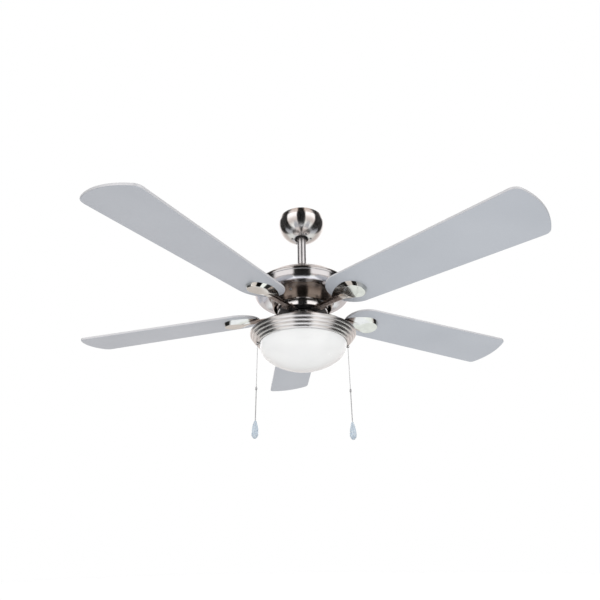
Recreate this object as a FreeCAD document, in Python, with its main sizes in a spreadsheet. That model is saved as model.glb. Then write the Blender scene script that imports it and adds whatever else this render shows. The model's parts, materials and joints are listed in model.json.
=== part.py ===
"""Five-blade ceiling fan with a light: an electric fan on a downrod, built as it is assembled.

The origin is on the ceiling, on the fan's axis, with +Z up. Depths are measured down from the
ceiling, so a point at depth d has z = -d. The pull chains hang near +X and -X, and +Y is the
back of the fan, where the reversing switch is.
"""
import FreeCAD, Part
import math
import os
import Sketcher

Vector = FreeCAD.Vector

DIMENSIONS = {
    # ceiling bracket, hanger ball and canopy
    "bracket_length": 112, "bracket_width": 34, "sheet_thickness": 2,
    "slot_spacing": 82, "slot_length": 14, "slot_width": 5.2,
    "pivot_depth": 46, "ball_radius": 24, "seat_radius": 24.3, "cradle_radius": 30,
    "cradle_top": 50, "cradle_bottom": 62,
    "canopy_rim_radius": 64.5, "canopy_top": 0.5, "canopy_radius": 67.5, "canopy_belly": 17,
    "canopy_sweep": 50.5, "canopy_base": 67.3, "canopy_hole_radius": 21, "canopy_skin": 1.2,
    # downrod and yoke
    "rod_radius": 12.5, "rod_wall": 2, "rod_top": 30, "rod_bottom": 192, "fit_gap": 0.05,
    "yoke_top": 168, "yoke_radius": 17, "yoke_pin_depth": 180, "yoke_flange_top": 191.4,
    "yoke_flange_radius": 38, "yoke_bottom": 213, "spider_depth": 207.6, "yoke_shelf_radius": 28,
    "shaft_radius": 8.5, "shaft_bore": 5,
    "shaft_top": 199, "shaft_bottom": 360, "cable_radius": 2, "cable_offset": 5.5,
    # motor housing
    "cover_flat_radius": 40, "cover_depth": 190, "rim_radius": 132, "rim_top": 235,
    "rim_bottom": 244, "band_bottom": 258, "bevel_radius": 121, "bevel_bottom": 269.5,
    "recess_radius": 90, "recess_top": 260, "throat_radius": 79, "throat_bottom": 298,
    "housing_skin": 1.2,
    # motor
    "bell_radius": 70, "bell_flange_radius": 76, "bell_top": 236, "bell_split": 262,
    "hub_radius": 68, "hub_step": 294, "hub_bottom": 313.6, "bell_wall": 3,
    "bearing_radius": 20, "bearing_width": 12, "upper_bearing_top": 230,
    "lower_bearing_top": 296, "stator_radius": 57, "stator_top": 252, "stator_height": 20,
    "air_gap": 0.5,
    # blades and their irons
    "blade_count": 5, "first_blade_azimuth": 93.82, "blade_depth": 315, "blade_station": 200,
    "blade_pitch": 10.09, "blade_droop": 2.54, "blade_thickness": 6, "root_centre": 190,
    "root_half": 63.2, "root_offset": -4.5, "blade_tip": 653, "tip_side": 3, "tip_bow": 155,
    "tip_corner": 20, "tip_corner_high": 16, "low_side_end": 626.6, "low_side": -58,
    "low_corner": 645.7, "low_corner_side": -44.1, "high_corner": 632.3, "high_corner_side": 80.5,
    "high_side_end": 618.4, "high_side": 88.5,
    "spoon_depth": 10, "spoon_centre": 191, "spoon_half": 36, "spoon_end": 227,
    "spoon_neck": 131, "spoon_neck_half": 13, "spoon_tail": 123, "spoon_bow": 110,
    "dish_centre": 198, "dish_half": 27, "dish_end": 225, "dish_neck": 182,
    "dish_neck_half": 20, "dish_tail": 172, "dish_bow": 40, "arm_end": 178,
    "arm_width": 22, "arm_thickness": 6, "foot_thickness": 4, "foot_inner": 46,
    "foot_outer": 78,
    # light kit
    "kit_boss_radius": 43, "kit_boss_top": 315.5, "kit_top": 336, "kit_flat_radius": 62,
    "kit_shoulder_radius": 100, "kit_shoulder": 351,
    "kit_edge_radius": 138.5, "kit_edge": 371.5, "kit_lip_radius": 127, "kit_skin": 1.2,
    "shelf_depth": 392, "shelf_radius": 113.6, "ring_end_radius": 115.8, "ring_end": 401,
    "glass_radius": 114.6, "glass_neck_radius": 112, "glass_top": 386, "glass_seat": 401,
    "glass_knee_radius": 96.4, "glass_knee": 437.1, "glass_bottom": 469,
    "glass_thickness": 3.5, "glass_rim_curve": 45, "glass_base_curve": 161.8,
    "lamp_plate_radius": 103, "lamp_plate_depth": 376, "lamp_depth": 401, "bulb_radius": 22.5,
    # pull chains, on a line turned a little from X
    "chain_azimuth": 8, "chain_reach": 120, "chain_radius": 1.2, "chain_exit": 404,
    "chain_top": 388, "pendant_top": 601, "pendant_length": 43, "pendant_radius": 8,
    "coupling_depth": 517.5,
    "coupling_length": 8,
    # fasteners
    "screw_radius": 1.95, "screw_hole": 2, "screw_head": 3.6, "screw_head_height": 2.2,
}

HOUSING_SCREW_DEPTH = 276
HOUSING_SCREW_AZIMUTH = 249
SET_SCREW_DEPTHS = (174, 201.6)
BLADE_SCREW_SPOTS = ((152, 0), (198, -19), (198, 19))
IRON_SCREW_SPOTS = ((58, -8), (58, 8))
CANOPY_SCREW_AZIMUTHS = (0, 120, 180, 300)

document = FreeCAD.newDocument("CeilingFan")
sheet = document.addObject("Spreadsheet::Sheet", "Sizes")


class Size:
    """A number that also carries the spreadsheet expression it comes from."""

    def __init__(self, value, text):
        self.value = float(value)
        self.text = text

    def __add__(self, other):
        other = size_of(other)
        return Size(self.value + other.value, f"({self.text} + {other.text})")

    def __sub__(self, other):
        other = size_of(other)
        return Size(self.value - other.value, f"({self.text} - {other.text})")

    def __rsub__(self, other):
        return size_of(other) - self

    def __mul__(self, factor):
        return Size(self.value * factor, f"({self.text} * {factor})")

    def __neg__(self):
        return Size(-self.value, f"(-{self.text})")

    __radd__ = __add__
    __rmul__ = __mul__


def size_of(number):
    """Turn a plain number into a Size, and leave a Size as it is."""
    if isinstance(number, Size):
        return number
    return Size(number, f"({float(number)!r})")


def fill_sheet():
    """Write the driving dimensions to the sheet and return them as Sizes by name."""
    sizes = {}
    for row, (name, value) in enumerate(DIMENSIONS.items(), start=1):
        sheet.set(f"A{row}", name)
        sheet.set(f"B{row}", str(value))
        sheet.setAlias(f"B{row}", name)
        sizes[name] = Size(value, f"Sizes.{name}")
    document.recompute()
    return sizes


S = fill_sheet()


# ---------------------------------------------------------------- sketches and features

def pin_point(sketch, geometry, vertex, x, y):
    """Hold one sketch point at x, y, each bound to its expression."""
    for kind, coordinate in (("DistanceX", size_of(x)), ("DistanceY", size_of(y))):
        ends = (-1, 1, geometry, vertex)
        if coordinate.value < 0:
            ends = (geometry, vertex, -1, 1)
            coordinate = -coordinate
        index = sketch.addConstraint(Sketcher.Constraint(kind, *ends, coordinate.value))
        sketch.setExpression(f"Constraints[{index}]", coordinate.text)


def add_arc(sketch, start, end, radius, side):
    """Add the short arc from start to end; side 1 turns left, -1 turns right."""
    chord = end - start
    half = chord.Length / 2
    rise = math.sqrt(max(radius.value ** 2 - half ** 2, 0))
    left = Vector(-chord.y, chord.x, 0).normalize()
    centre = start + chord * 0.5 + left * rise * side
    first, last = (start, end) if side > 0 else (end, start)
    angles = [math.atan2(p.y - centre.y, p.x - centre.x) for p in (first, last)]
    if angles[1] < angles[0]:
        angles[1] += 2 * math.pi
    circle = Part.Circle(centre, Vector(0, 0, 1), radius.value)
    geometry = sketch.addGeometry(Part.ArcOfCircle(circle, *angles), False)
    return (geometry, 1, 2) if side > 0 else (geometry, 2, 1)


def add_outline(sketch, outline):
    """Add a closed outline of (x, y) corners.

    A corner written (x, y, radius, side) is reached by an arc from the corner before it.
    """
    pieces = []
    bends = []
    for index, corner in enumerate(outline):
        before = outline[index - 1]
        start = Vector(size_of(before[0]).value, size_of(before[1]).value, 0)
        end = Vector(size_of(corner[0]).value, size_of(corner[1]).value, 0)
        if len(corner) == 2:
            pieces.append((sketch.addGeometry(Part.LineSegment(start, end), False), 1, 2))
        else:
            radius = size_of(corner[2])
            pieces.append(add_arc(sketch, start, end, radius, corner[3]))
            bends.append((pieces[-1][0], radius))
    for index, (geometry, _, last) in enumerate(pieces):
        following, first, _ = pieces[(index + 1) % len(pieces)]
        sketch.addConstraint(Sketcher.Constraint("Coincident", geometry, last, following, first))
        pin_point(sketch, geometry, last, outline[index][0], outline[index][1])
    for geometry, radius in bends:
        index = sketch.addConstraint(Sketcher.Constraint("Radius", geometry, radius.value))
        sketch.setExpression(f"Constraints[{index}]", radius.text)


def add_circle(sketch, x, y, radius):
    """Add a full circle whose centre and radius are bound."""
    x, y, radius = size_of(x), size_of(y), size_of(radius)
    circle = Part.Circle(Vector(x.value, y.value, 0), Vector(0, 0, 1), radius.value)
    geometry = sketch.addGeometry(circle, False)
    pin_point(sketch, geometry, 3, x, y)
    index = sketch.addConstraint(Sketcher.Constraint("Radius", geometry, radius.value))
    sketch.setExpression(f"Constraints[{index}]", radius.text)


def new_body(label):
    """Start a PartDesign body with its own label."""
    body = document.addObject("PartDesign::Body", label)
    body.Label = label
    return body


def new_sketch(body, role, outlines=(), circles=(), offset=None, lift=None):
    """Draw outlines and circles on one of the body's origin planes."""
    sketch = body.newObject("Sketcher::SketchObject", body.Label + "_sketch")
    plane = next(item for item in body.Origin.OriginFeatures if item.Role == role)
    sketch.AttachmentSupport = [(plane, "")]
    sketch.MapMode = "FlatFace"
    if offset is not None:
        sketch.AttachmentOffset = offset
    if lift is not None:
        sketch.setExpression("AttachmentOffset.Base.z", size_of(lift).text)
    for outline in outlines:
        add_outline(sketch, outline)
    for circle in circles:
        add_circle(sketch, *circle)
    return sketch


def revolve(body, profile, kind="PartDesign::Revolution"):
    """Turn a (radius, depth) profile about the Z axis, as added or removed material."""
    flipped = [(corner[0], -size_of(corner[1])) + tuple(corner[2:]) for corner in profile]
    sketch = new_sketch(body, "XZ_Plane", outlines=[flipped])
    feature = body.newObject(kind, body.Label + "_turned")
    feature.Profile = sketch
    feature.ReferenceAxis = (sketch, ["V_Axis"])
    feature.Angle = 360
    return feature


def turned(label, *profiles):
    """A body made of one or more profiles turned about the Z axis."""
    body = new_body(label)
    for profile in profiles:
        revolve(body, profile)
    return body


def pad(body, height, outlines=(), circles=(), depth=0, offset=None):
    """Extrude up from the given depth, or from an offset plane of its own."""
    lift = None if offset is not None else -size_of(depth)
    sketch = new_sketch(body, "XY_Plane", outlines, circles, offset, lift)
    feature = body.newObject("PartDesign::Pad", body.Label + "_pad")
    feature.Profile = sketch
    feature.setExpression("Length", size_of(height).text)
    return feature


def pocket(body, reach, outlines=(), circles=(), depth=0, offset=None, role="XY_Plane",
           outward=False):
    """Cut down from the given depth by reach, and make sure that it cut something."""
    document.recompute()
    volume = body.Shape.Volume
    lift = -size_of(depth) if offset is None and role == "XY_Plane" else None
    sketch = new_sketch(body, role, outlines, circles, offset, lift)
    feature = body.newObject("PartDesign::Pocket", body.Label + "_cut")
    feature.Profile = sketch
    feature.setExpression("Length", size_of(reach).text)
    feature.Reversed = outward
    document.recompute()
    if not body.Shape.Volume < volume - 0.01:
        raise ValueError(f"a pocket in {body.Label} cuts nothing")
    return feature


def polar(body, feature, count):
    """Repeat a feature evenly about the Z axis."""
    pattern = body.newObject("PartDesign::PolarPattern", body.Label + "_pattern")
    pattern.Originals = [feature]
    axis = next(item for item in body.Origin.OriginFeatures if item.Role == "Z_Axis")
    pattern.Axis = (axis, [""])
    pattern.Angle = 360
    pattern.Occurrences = count
    body.Tip = pattern
    return pattern


def cylinder(label, radius, length, placement):
    """A plain bound cylinder along its own Z."""
    solid = document.addObject("Part::Cylinder", label)
    solid.Label = label
    solid.setExpression("Radius", size_of(radius).text)
    solid.setExpression("Height", size_of(length).text)
    solid.Placement = placement
    return solid


def block(label, width, breadth, height, centre, rotation=None):
    """A bound box about its centre, turned about that centre."""
    solid = document.addObject("Part::Box", label)
    solid.Label = label
    for name, measure in (("Length", width), ("Width", breadth), ("Height", height)):
        solid.setExpression(name, size_of(measure).text)
    rotation = rotation or FreeCAD.Rotation()
    half = Vector(*(size_of(m).value / 2 for m in (width, breadth, height)))
    solid.Placement = FreeCAD.Placement(centre - rotation.multVec(half), rotation)
    return solid


def fuse(label, *pieces):
    """One solid from several overlapping pieces."""
    joined = document.addObject("Part::MultiFuse", label)
    joined.Label = label
    joined.Shapes = list(pieces)
    joined.Refine = True
    return joined


def chamfer_edges(body, base, amount, chosen, kind="PartDesign::Chamfer"):
    """Chamfer or round the edges of base that the test picks out."""
    document.recompute()
    names = [f"Edge{i}" for i, edge in enumerate(base.Shape.Edges, start=1) if chosen(edge)]
    feature = body.newObject(kind, body.Label + "_edges")
    feature.Base = (base, names)
    feature.setExpression("Size" if kind.endswith("Chamfer") else "Radius", size_of(amount).text)
    return feature


def around(azimuth, radius=0, z=0):
    """A placement at this azimuth and radius, with local X pointing outwards."""
    turn = FreeCAD.Rotation(Vector(0, 0, 1), azimuth)
    return FreeCAD.Placement(turn.multVec(Vector(radius, 0, 0)) + Vector(0, 0, z), turn)


def pose(x, y, z, axis=(0, 0, 1), angle=0):
    """A placement from a point and a turn."""
    return FreeCAD.Placement(Vector(x, y, z), FreeCAD.Rotation(Vector(*axis), angle))


def copies(label, prototype, placements):
    """Separate copies of one prototype, kept together as one named group."""
    document.recompute()
    group = document.addObject("Part::Feature", label)
    group.Label = label
    solids = []
    for placement in placements:
        solid = prototype.Shape.copy()
        solid.Placement = placement.multiply(prototype.Placement)
        solids.append(solid)
    group.Shape = Part.makeCompound(solids)
    group.Placement = FreeCAD.Placement()
    return group


def screw_prototype(label, length):
    """A pan-head screw standing head down: the head's seat is at z = 0, its shank above."""
    seat_to_tip = size_of(length)
    head = S["screw_head"]
    rounded = head.value
    return turned(label, [
        (0, S["screw_head_height"]),
        (head * 0.55, S["screw_head_height"]),
        (head, S["screw_head_height"] * 0.35, rounded, 1),
        (head, 0),
        (S["screw_radius"], 0),
        (S["screw_radius"], -seat_to_tip),
        (0, -seat_to_tip),
    ])


# ---------------------------------------------------------------- ceiling bracket and canopy

def slot_outline(x, half_length, half_width):
    """A round-ended slot along X about (x, 0)."""
    straight = half_length - half_width
    return [
        (x + straight, -half_width),
        (x + half_length, 0, half_width, 1),
        (x + straight, half_width, half_width, 1),
        (x - straight, half_width),
        (x - half_length, 0, half_width, 1),
        (x - straight, -half_width, half_width, 1),
    ]


def rectangle(left, right, low, high):
    return [(left, low), (right, low), (right, high), (left, high)]


def hanger_bracket():
    """Ceiling plate, two legs and the cradle that the ball sits in."""
    body = new_body("hanger_bracket")
    half_length, half_width = S["bracket_length"] * 0.5, S["bracket_width"] * 0.5
    thickness = S["sheet_thickness"]
    plate = rectangle(-half_length, half_length, -half_width, half_width)
    pad(body, thickness, [plate], depth=thickness)
    leg_outer = S["cradle_radius"] + 1
    leg_inner = leg_outer - 3
    legs = [rectangle(side * leg_inner, side * leg_outer, -10, 10) for side in (-1, 1)]
    pad(body, S["cradle_bottom"] - 1, legs, depth=S["cradle_bottom"])
    seat, pivot = S["seat_radius"], S["pivot_depth"]
    radii = [math.sqrt(seat.value ** 2 - (S[edge].value - pivot.value) ** 2)
             for edge in ("cradle_top", "cradle_bottom")]
    revolve(body, [
        (S["cradle_radius"], S["cradle_top"]), (S["cradle_radius"], S["cradle_bottom"]),
        (radii[1], S["cradle_bottom"]), (radii[0], S["cradle_top"], seat, 1),
    ])
    mouth = rectangle(-13.5, 13.5, 0, S["cradle_radius"] + 4)
    pocket(body, 14, [mouth], depth=S["cradle_top"] - 1)
    spacing = S["slot_spacing"] * 0.5
    slots = [slot_outline(spacing * side, S["slot_length"] * 0.5, S["slot_width"] * 0.5)
             for side in (-1, 1)]
    pocket(body, thickness + 2, slots, depth=-1)
    for azimuth in CANOPY_SCREW_AZIMUTHS:
        spot = around(azimuth, 27).Base
        pocket(body, 14, circles=[(spot.x, spot.y, S["screw_hole"])], depth=49)
    return body


def canopy():
    """Spun cover over the bracket, open at the ceiling, with a hole for the rod."""
    skin, sweep, belly = S["canopy_skin"], S["canopy_sweep"], S["canopy_belly"]
    widest, rim, hole = S["canopy_radius"], S["canopy_rim_radius"], S["canopy_hole_radius"]
    base = S["canopy_base"]
    body = turned("canopy", [
        (rim, S["canopy_top"]), (widest, belly, 120, -1), (hole, base, sweep, -1),
        (hole, base - skin), (widest - skin, belly, sweep - skin, 1),
        (rim - skin, S["canopy_top"], 118, 1),
    ])
    spots = [around(azimuth, 27).Base for azimuth in CANOPY_SCREW_AZIMUTHS]
    pocket(body, 8, circles=holes_at(spots), depth=62)
    return body


def ceiling_parts():
    """Everything that stays with the ceiling."""
    canopy_screw = screw_prototype("canopy_screw_shape", 11)
    canopy_screws = copies("canopy_screws", canopy_screw,
                           [around(a, 27, -67.2) for a in CANOPY_SCREW_AZIMUTHS])
    terminal = block("terminal_block", 34, 16, 12, Vector(0, 0, -10))
    leads_end = S["pivot_depth"] - 1
    leads = cylinder("supply_leads", S["cable_radius"], leads_end - 16.2,
                     pose(0, S["cable_offset"].value, -leads_end.value))
    return [hanger_bracket(), canopy(), canopy_screws, terminal, leads]


# ---------------------------------------------------------------- downrod and yoke

def hanger_ball():
    """Moulded ball with flats at its poles and a bore for the rod and its pin."""
    bore = S["rod_radius"] + S["fit_gap"]
    radius, pivot = S["ball_radius"], S["pivot_depth"]
    top, bottom = pivot - 18, pivot + 20
    reach = [math.sqrt(radius.value ** 2 - gap ** 2) for gap in (18, 20)]
    body = turned("hanger_ball", [
        (bore, top), (reach[0], top), (radius, pivot, radius, -1),
        (reach[1], bottom, radius, -1), (bore, bottom),
    ])
    side_holes(body, S["pivot_depth"], 3.05, 30)
    return body


def side_holes(body, depth, radius, reach, role="YZ_Plane"):
    """Drill both ways along X, or along Y with the XZ plane."""
    for outward in (False, True):
        pocket(body, reach, circles=[(0, -size_of(depth), radius)], role=role, outward=outward)


def downrod():
    """Steel tube with a cross hole for the ball pin and one for the yoke bolt."""
    radius, wall = S["rod_radius"], S["rod_wall"]
    body = turned("downrod", [
        (radius - wall, S["rod_top"]), (radius, S["rod_top"]),
        (radius, S["rod_bottom"]), (radius - wall, S["rod_bottom"]),
    ])
    for depth in (S["pivot_depth"], S["yoke_pin_depth"]):
        side_holes(body, depth, 3.05, 16)
    return body


def motor_yoke():
    """Socket that joins the rod to the motor shaft, with the flange that carries the cover."""
    rod_bore = S["rod_radius"] + S["fit_gap"]
    shaft_bore = S["shaft_radius"] + S["fit_gap"]
    outer, flange_top = S["yoke_radius"], S["yoke_flange_top"]
    web_top, web_bottom = S["rod_bottom"] + 0.2, S["shaft_top"] - 0.2
    flange_bottom = flange_top + 2.6
    shelf, shelf_radius = S["spider_depth"] - 0.1, S["yoke_shelf_radius"]
    body = turned("motor_yoke", [
        (rod_bore, S["yoke_top"]), (outer, S["yoke_top"]), (outer, flange_top),
        (S["yoke_flange_radius"], flange_top), (S["yoke_flange_radius"], flange_bottom),
        (outer, flange_bottom), (outer, shelf - 2.6), (shelf_radius, shelf - 2.6),
        (shelf_radius, shelf), (outer, shelf), (outer, S["yoke_bottom"]),
        (shaft_bore, S["yoke_bottom"]), (shaft_bore, web_bottom), (9.5, web_bottom),
        (9.5, web_top), (rod_bore, web_top),
    ])
    side_holes(body, S["yoke_pin_depth"], 3.05, 20)
    for depth in SET_SCREW_DEPTHS:
        side_holes(body, depth, 2.45, 20, "XZ_Plane")
    pocket(body, 6, circles=holes_at(cover_screw_spots()), depth=flange_top - 1)
    pocket(body, 6, circles=holes_at(spider_screw_spots()), depth=shelf - 4)
    return body


def cover_screw_spots():
    return [around(azimuth, 30).Base for azimuth in (30, 150, 270)]


def spider_screw_spots():
    return [around(HOUSING_SCREW_AZIMUTH + turn, 23).Base for turn in (60, 180, 300)]


def holes_at(spots):
    """Screw-hole circles at these points."""
    return [(spot.x, spot.y, S["screw_hole"]) for spot in spots]


def rod_leads():
    """Wiring down the rod: beside the bolts, then a soft S-bend into the shaft's bore."""
    body = new_body("rod_leads")
    offset, radius = S["cable_offset"], S["cable_radius"]
    bend_radius = 20
    turn = math.acos(1 - offset.value / (2 * bend_radius))
    top, bend_top = -S["pivot_depth"].value - 0.9, -186
    rise = 2 * bend_radius * math.sin(turn)
    path = body.newObject("Sketcher::SketchObject", "rod_leads_path")
    plane = next(item for item in body.Origin.OriginFeatures if item.Role == "YZ_Plane")
    path.AttachmentSupport = [(plane, "")]
    path.MapMode = "FlatFace"
    start, first = Vector(offset.value, top, 0), Vector(offset.value, bend_top, 0)
    middle = Vector(offset.value / 2, bend_top - rise / 2, 0)
    last, end = Vector(0, bend_top - rise, 0), Vector(0, -340, 0)
    path.addGeometry(Part.LineSegment(start, first), False)
    add_arc(path, first, middle, Size(bend_radius, ""), -1)
    add_arc(path, middle, last, Size(bend_radius, ""), 1)
    path.addGeometry(Part.LineSegment(last, end), False)
    section = new_sketch(body, "XY_Plane", circles=[(0, offset, radius)], lift=top)
    pipe = body.newObject("PartDesign::AdditivePipe", "rod_leads_pipe")
    pipe.Profile = section
    pipe.Spine = (path, [])
    return body


def yoke_fasteners():
    """Bolt, its spring clip, and the set screws in the ball and the yoke."""
    depth = -S["yoke_pin_depth"].value
    shank = cylinder("yoke_bolt_shank", 3, 44, pose(-21, 0, depth, (0, 1, 0), 90))
    head = cylinder("yoke_bolt_head", 5, 4, pose(-24.5, 0, depth, (0, 1, 0), 90))
    bolt = fuse("yoke_bolt", shank, head)
    clip = document.addObject("Part::Torus", "yoke_clip")
    clip.Label = "yoke_clip"
    clip.Radius1, clip.Radius2 = 4.3, 0.9
    clip.Placement = pose(19.5, 0, depth, (0, 1, 0), 90)
    pin = cylinder("ball_pin", 3, 44, pose(-22, 0, -S["pivot_depth"].value, (0, 1, 0), 90))
    grub = cylinder("set_screw_shape", 2.4, 6, pose(0, 0, 0))
    reaches = (S["rod_radius"].value + 0.2, S["shaft_radius"].value + 0.2)
    grubs = copies("set_screws", grub, [
        around(azimuth, reach, -depth).multiply(pose(0, 0, 0, (0, 1, 0), 90))
        for reach, depth in zip(reaches, SET_SCREW_DEPTHS) for azimuth in (90, 270)])
    return [bolt, clip, pin, grubs]


def yoke_cover():
    """Small bell that hides the yoke and rests on the motor cover."""
    skin = 1.2
    inner_top = S["rod_radius"] + 0.6
    foot = S["cover_depth"] - 0.1
    return turned("yoke_cover", [
        (inner_top, 160), (18, 160), (36, foot, 34, -1), (36 - skin, foot),
        (18, 160 + skin, 32, 1), (inner_top, 160 + skin),
    ])


# ---------------------------------------------------------------- motor housing

def housing_cover():
    """Shallow dome over the motor, screwed to the yoke's flange."""
    skin, flat = S["housing_skin"], S["cover_flat_radius"]
    hole = S["yoke_radius"] + 0.3
    top, rim = S["cover_depth"], S["rim_radius"] - 1.6
    body = turned("housing_cover", [
        (hole, top), (flat, top), (rim, S["rim_top"] - 1, 170, -1), (rim, S["rim_top"] + 6),
        (rim - skin, S["rim_top"] + 6), (rim - skin, S["rim_top"]),
        (flat, top + skin, 169, 1), (hole, top + skin),
    ])
    pocket(body, 4, circles=holes_at(cover_screw_spots()), depth=top - 1)
    return body


def housing_shell():
    """Lower housing: rim bead, upright band, bevel, and the recess that the hub turns in."""
    skin = S["housing_skin"]
    rim, band = S["rim_radius"], S["rim_radius"] - 1
    bead_top, bead_bottom = S["rim_top"], S["rim_bottom"]
    recess, throat = S["recess_radius"], S["throat_radius"]
    recess_top = S["recess_top"]
    body = turned("housing_shell", [
        (rim - skin, bead_top), (rim, bead_top + 1.5, 4, -1), (rim + 0.4, bead_top + 4.5, 8, -1),
        (rim, bead_bottom - 1), (band, bead_bottom), (band, S["band_bottom"]),
        (S["bevel_radius"], S["bevel_bottom"], 18, -1), (recess + 19, S["bevel_bottom"] + 1),
        (recess + 1, recess_top + 0.5, 60, 1), (recess - 1, recess_top + 2, 3, 1),
        (recess - 4, 272), (throat + 3, 290), (throat + 3, 292), (throat, S["throat_bottom"]),
        (throat - skin, S["throat_bottom"]), (throat + 3 - skin, 291), (recess - 4 - skin, 271.5),
        (recess - 1 - skin, recess_top), (recess + 2, recess_top - 1.4),
        (recess + 19, S["bevel_bottom"] - 0.4), (S["bevel_radius"], S["bevel_bottom"] - 1.3),
        (band - skin, S["band_bottom"] - 0.4), (band - skin, bead_bottom - 0.5),
        (rim - skin, bead_bottom - 1.5),
    ])
    document.recompute()
    hole = pocket(body, 100, circles=[(0, -HOUSING_SCREW_DEPTH, S["screw_hole"])],
                  role="XZ_Plane", outward=True)
    polar(body, hole, 3)
    body.Placement = pose(0, 0, 0, (0, 0, 1), HOUSING_SCREW_AZIMUTH - housing_hole_azimuth(body))
    return body


def housing_hole_azimuth(body):
    """Azimuth of the first drilled hole: the plane's pocket may leave along +Y or -Y."""
    document.recompute()
    probe = around(90, 85, -HOUSING_SCREW_DEPTH).Base
    return -90 if body.Shape.isInside(probe, 0.01, True) else 90


def housing_spider():
    """Three steel arms from the yoke's lower shelf out and down to the recess wall."""
    body = new_body("housing_spider")
    top, thickness = S["spider_depth"], S["sheet_thickness"]
    arm = pad(body, thickness, [rectangle(20, 81.5, -7, 7)], depth=top + thickness)
    leg = pad(body, 73, [rectangle(79.5, 81.5, -7, 7)], depth=281)
    boss = pad(body, 12, [rectangle(77, 81.5, -6, 6)], depth=282)
    hole = pocket(body, 100, circles=[(0, -HOUSING_SCREW_DEPTH, S["screw_hole"])],
                  role="YZ_Plane", outward=True)
    pattern = polar(body, arm, 3)
    pattern.Originals = [arm, leg, boss, hole]
    document.recompute()
    hub = S["yoke_radius"] + 0.1
    revolve(body, [(hub, top), (28, top), (28, top + thickness), (hub, top + thickness)])
    turned_back = pose(0, 0, 0, (0, 0, 1), -HOUSING_SCREW_AZIMUTH)
    spots = [turned_back.multVec(spot) for spot in spider_screw_spots()]
    pocket(body, 4, circles=holes_at(spots), depth=top - 1)
    body.Placement = pose(0, 0, 0, (0, 0, 1), HOUSING_SCREW_AZIMUTH)
    return body


# ---------------------------------------------------------------- motor

def stator_core():
    """Laminated stack with sixteen slots."""
    outer, top = S["stator_radius"], S["stator_top"]
    bottom = top + S["stator_height"]
    bore = S["shaft_radius"] + S["fit_gap"]
    body = turned("stator_core", [(bore, top), (outer, top), (outer, bottom), (bore, bottom)])
    slot = pocket(body, S["stator_height"] + 2, [rectangle(31, 53.5, -3.5, 3.5)], depth=top - 1)
    mouth = pocket(body, S["stator_height"] + 2, [rectangle(52, 60, -1.2, 1.2)], depth=top - 1)
    pattern = polar(body, slot, 16)
    pattern.Originals = [slot, mouth]
    return body


def stator_windings():
    """Copper: a ring of end turns above and below the stack, joined through every slot."""
    top, height = S["stator_top"], S["stator_height"]
    body = new_body("stator_windings")
    revolve(body, [
        (31.5, top - 8), (34, top - 9), (50, top - 9), (52.5, top - 8), (52.5, top - 0.2),
        (31.5, top - 0.2)])
    bar = pad(body, height + 1, [rectangle(31.6, 52.4, -3.1, 3.1)], depth=top + height + 0.6)
    polar(body, bar, 16)
    document.recompute()
    revolve(body, [
        (31.5, top + height + 0.2), (52.5, top + height + 0.2), (52.5, top + height + 7),
        (50, top + height + 8), (34, top + height + 8), (31.5, top + height + 7)])
    return body


def motor_shaft():
    """Fixed hollow shaft that everything below the yoke hangs from."""
    radius, bore = S["shaft_radius"], S["shaft_bore"]
    return turned("motor_shaft", [
        (bore, S["shaft_top"]), (radius, S["shaft_top"]), (radius, S["shaft_bottom"] - 1),
        (radius - 1, S["shaft_bottom"]), (bore, S["shaft_bottom"])])


def upper_bell():
    """Upper half of the rotor's case, with a pocket for its bearing."""
    wall, outer, flange = S["bell_wall"], S["bell_radius"], S["bell_flange_radius"]
    top, split, seat = S["bell_top"], S["bell_split"], S["upper_bearing_top"]
    pocket_radius = S["bearing_radius"] + S["fit_gap"]
    body = turned("rotor_upper_bell", [
        (12, seat - 2), (24, seat - 2), (24, top), (outer - 5, top), (outer, top + 5, 5, -1),
        (outer, split - 2), (flange, split - 2), (flange, split), (outer - wall, split),
        (outer - wall, top + 6), (outer - 7, top + wall, 3, 1), (24, top + wall),
        (24, seat + S["bearing_width"]), (pocket_radius, seat + S["bearing_width"]),
        (pocket_radius, seat), (12, seat)])
    pocket(body, 6, circles=holes_at(bell_screw_spots()), depth=split - 3)
    return body


def bell_screw_spots():
    return [around(20 + 72 * index, 73.7).Base for index in range(5)]


def lower_bell():
    """Lower half of the rotor's case; its rim below the housing is the blade hub."""
    wall, outer, flange = S["bell_wall"], S["bell_radius"], S["bell_flange_radius"]
    split, hub, bottom = S["bell_split"] + 0.1, S["hub_radius"], S["hub_bottom"]
    seat = S["lower_bearing_top"]
    seat_bottom = seat + S["bearing_width"]
    pocket_radius = S["bearing_radius"] + S["fit_gap"]
    body = turned("rotor_lower_bell", [
        (outer - wall, split), (flange, split), (flange, split + 2), (outer, split + 2),
        (outer, S["hub_step"]), (hub - 1, S["hub_step"] + 2), (hub, S["hub_step"] + 5),
        (hub, bottom - 1.5), (hub - 1.5, bottom, 1.5, -1), (12, bottom), (12, seat_bottom),
        (pocket_radius, seat_bottom), (pocket_radius, seat), (25, seat), (25, bottom - 5),
        (hub - 6, bottom - 5), (hub - 6, S["hub_step"]), (outer - wall, S["hub_step"] - 3)])
    pocket(body, 6, circles=holes_at(bell_screw_spots()), depth=split - 1)
    holes = []
    for azimuth in blade_azimuths():
        for spot in IRON_SCREW_SPOTS:
            place = around(azimuth).multVec(Vector(*spot, 0))
            holes.append((place.x, place.y, S["screw_hole"]))
    pocket(body, 7, circles=holes, depth=bottom - 6)
    return body


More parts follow.
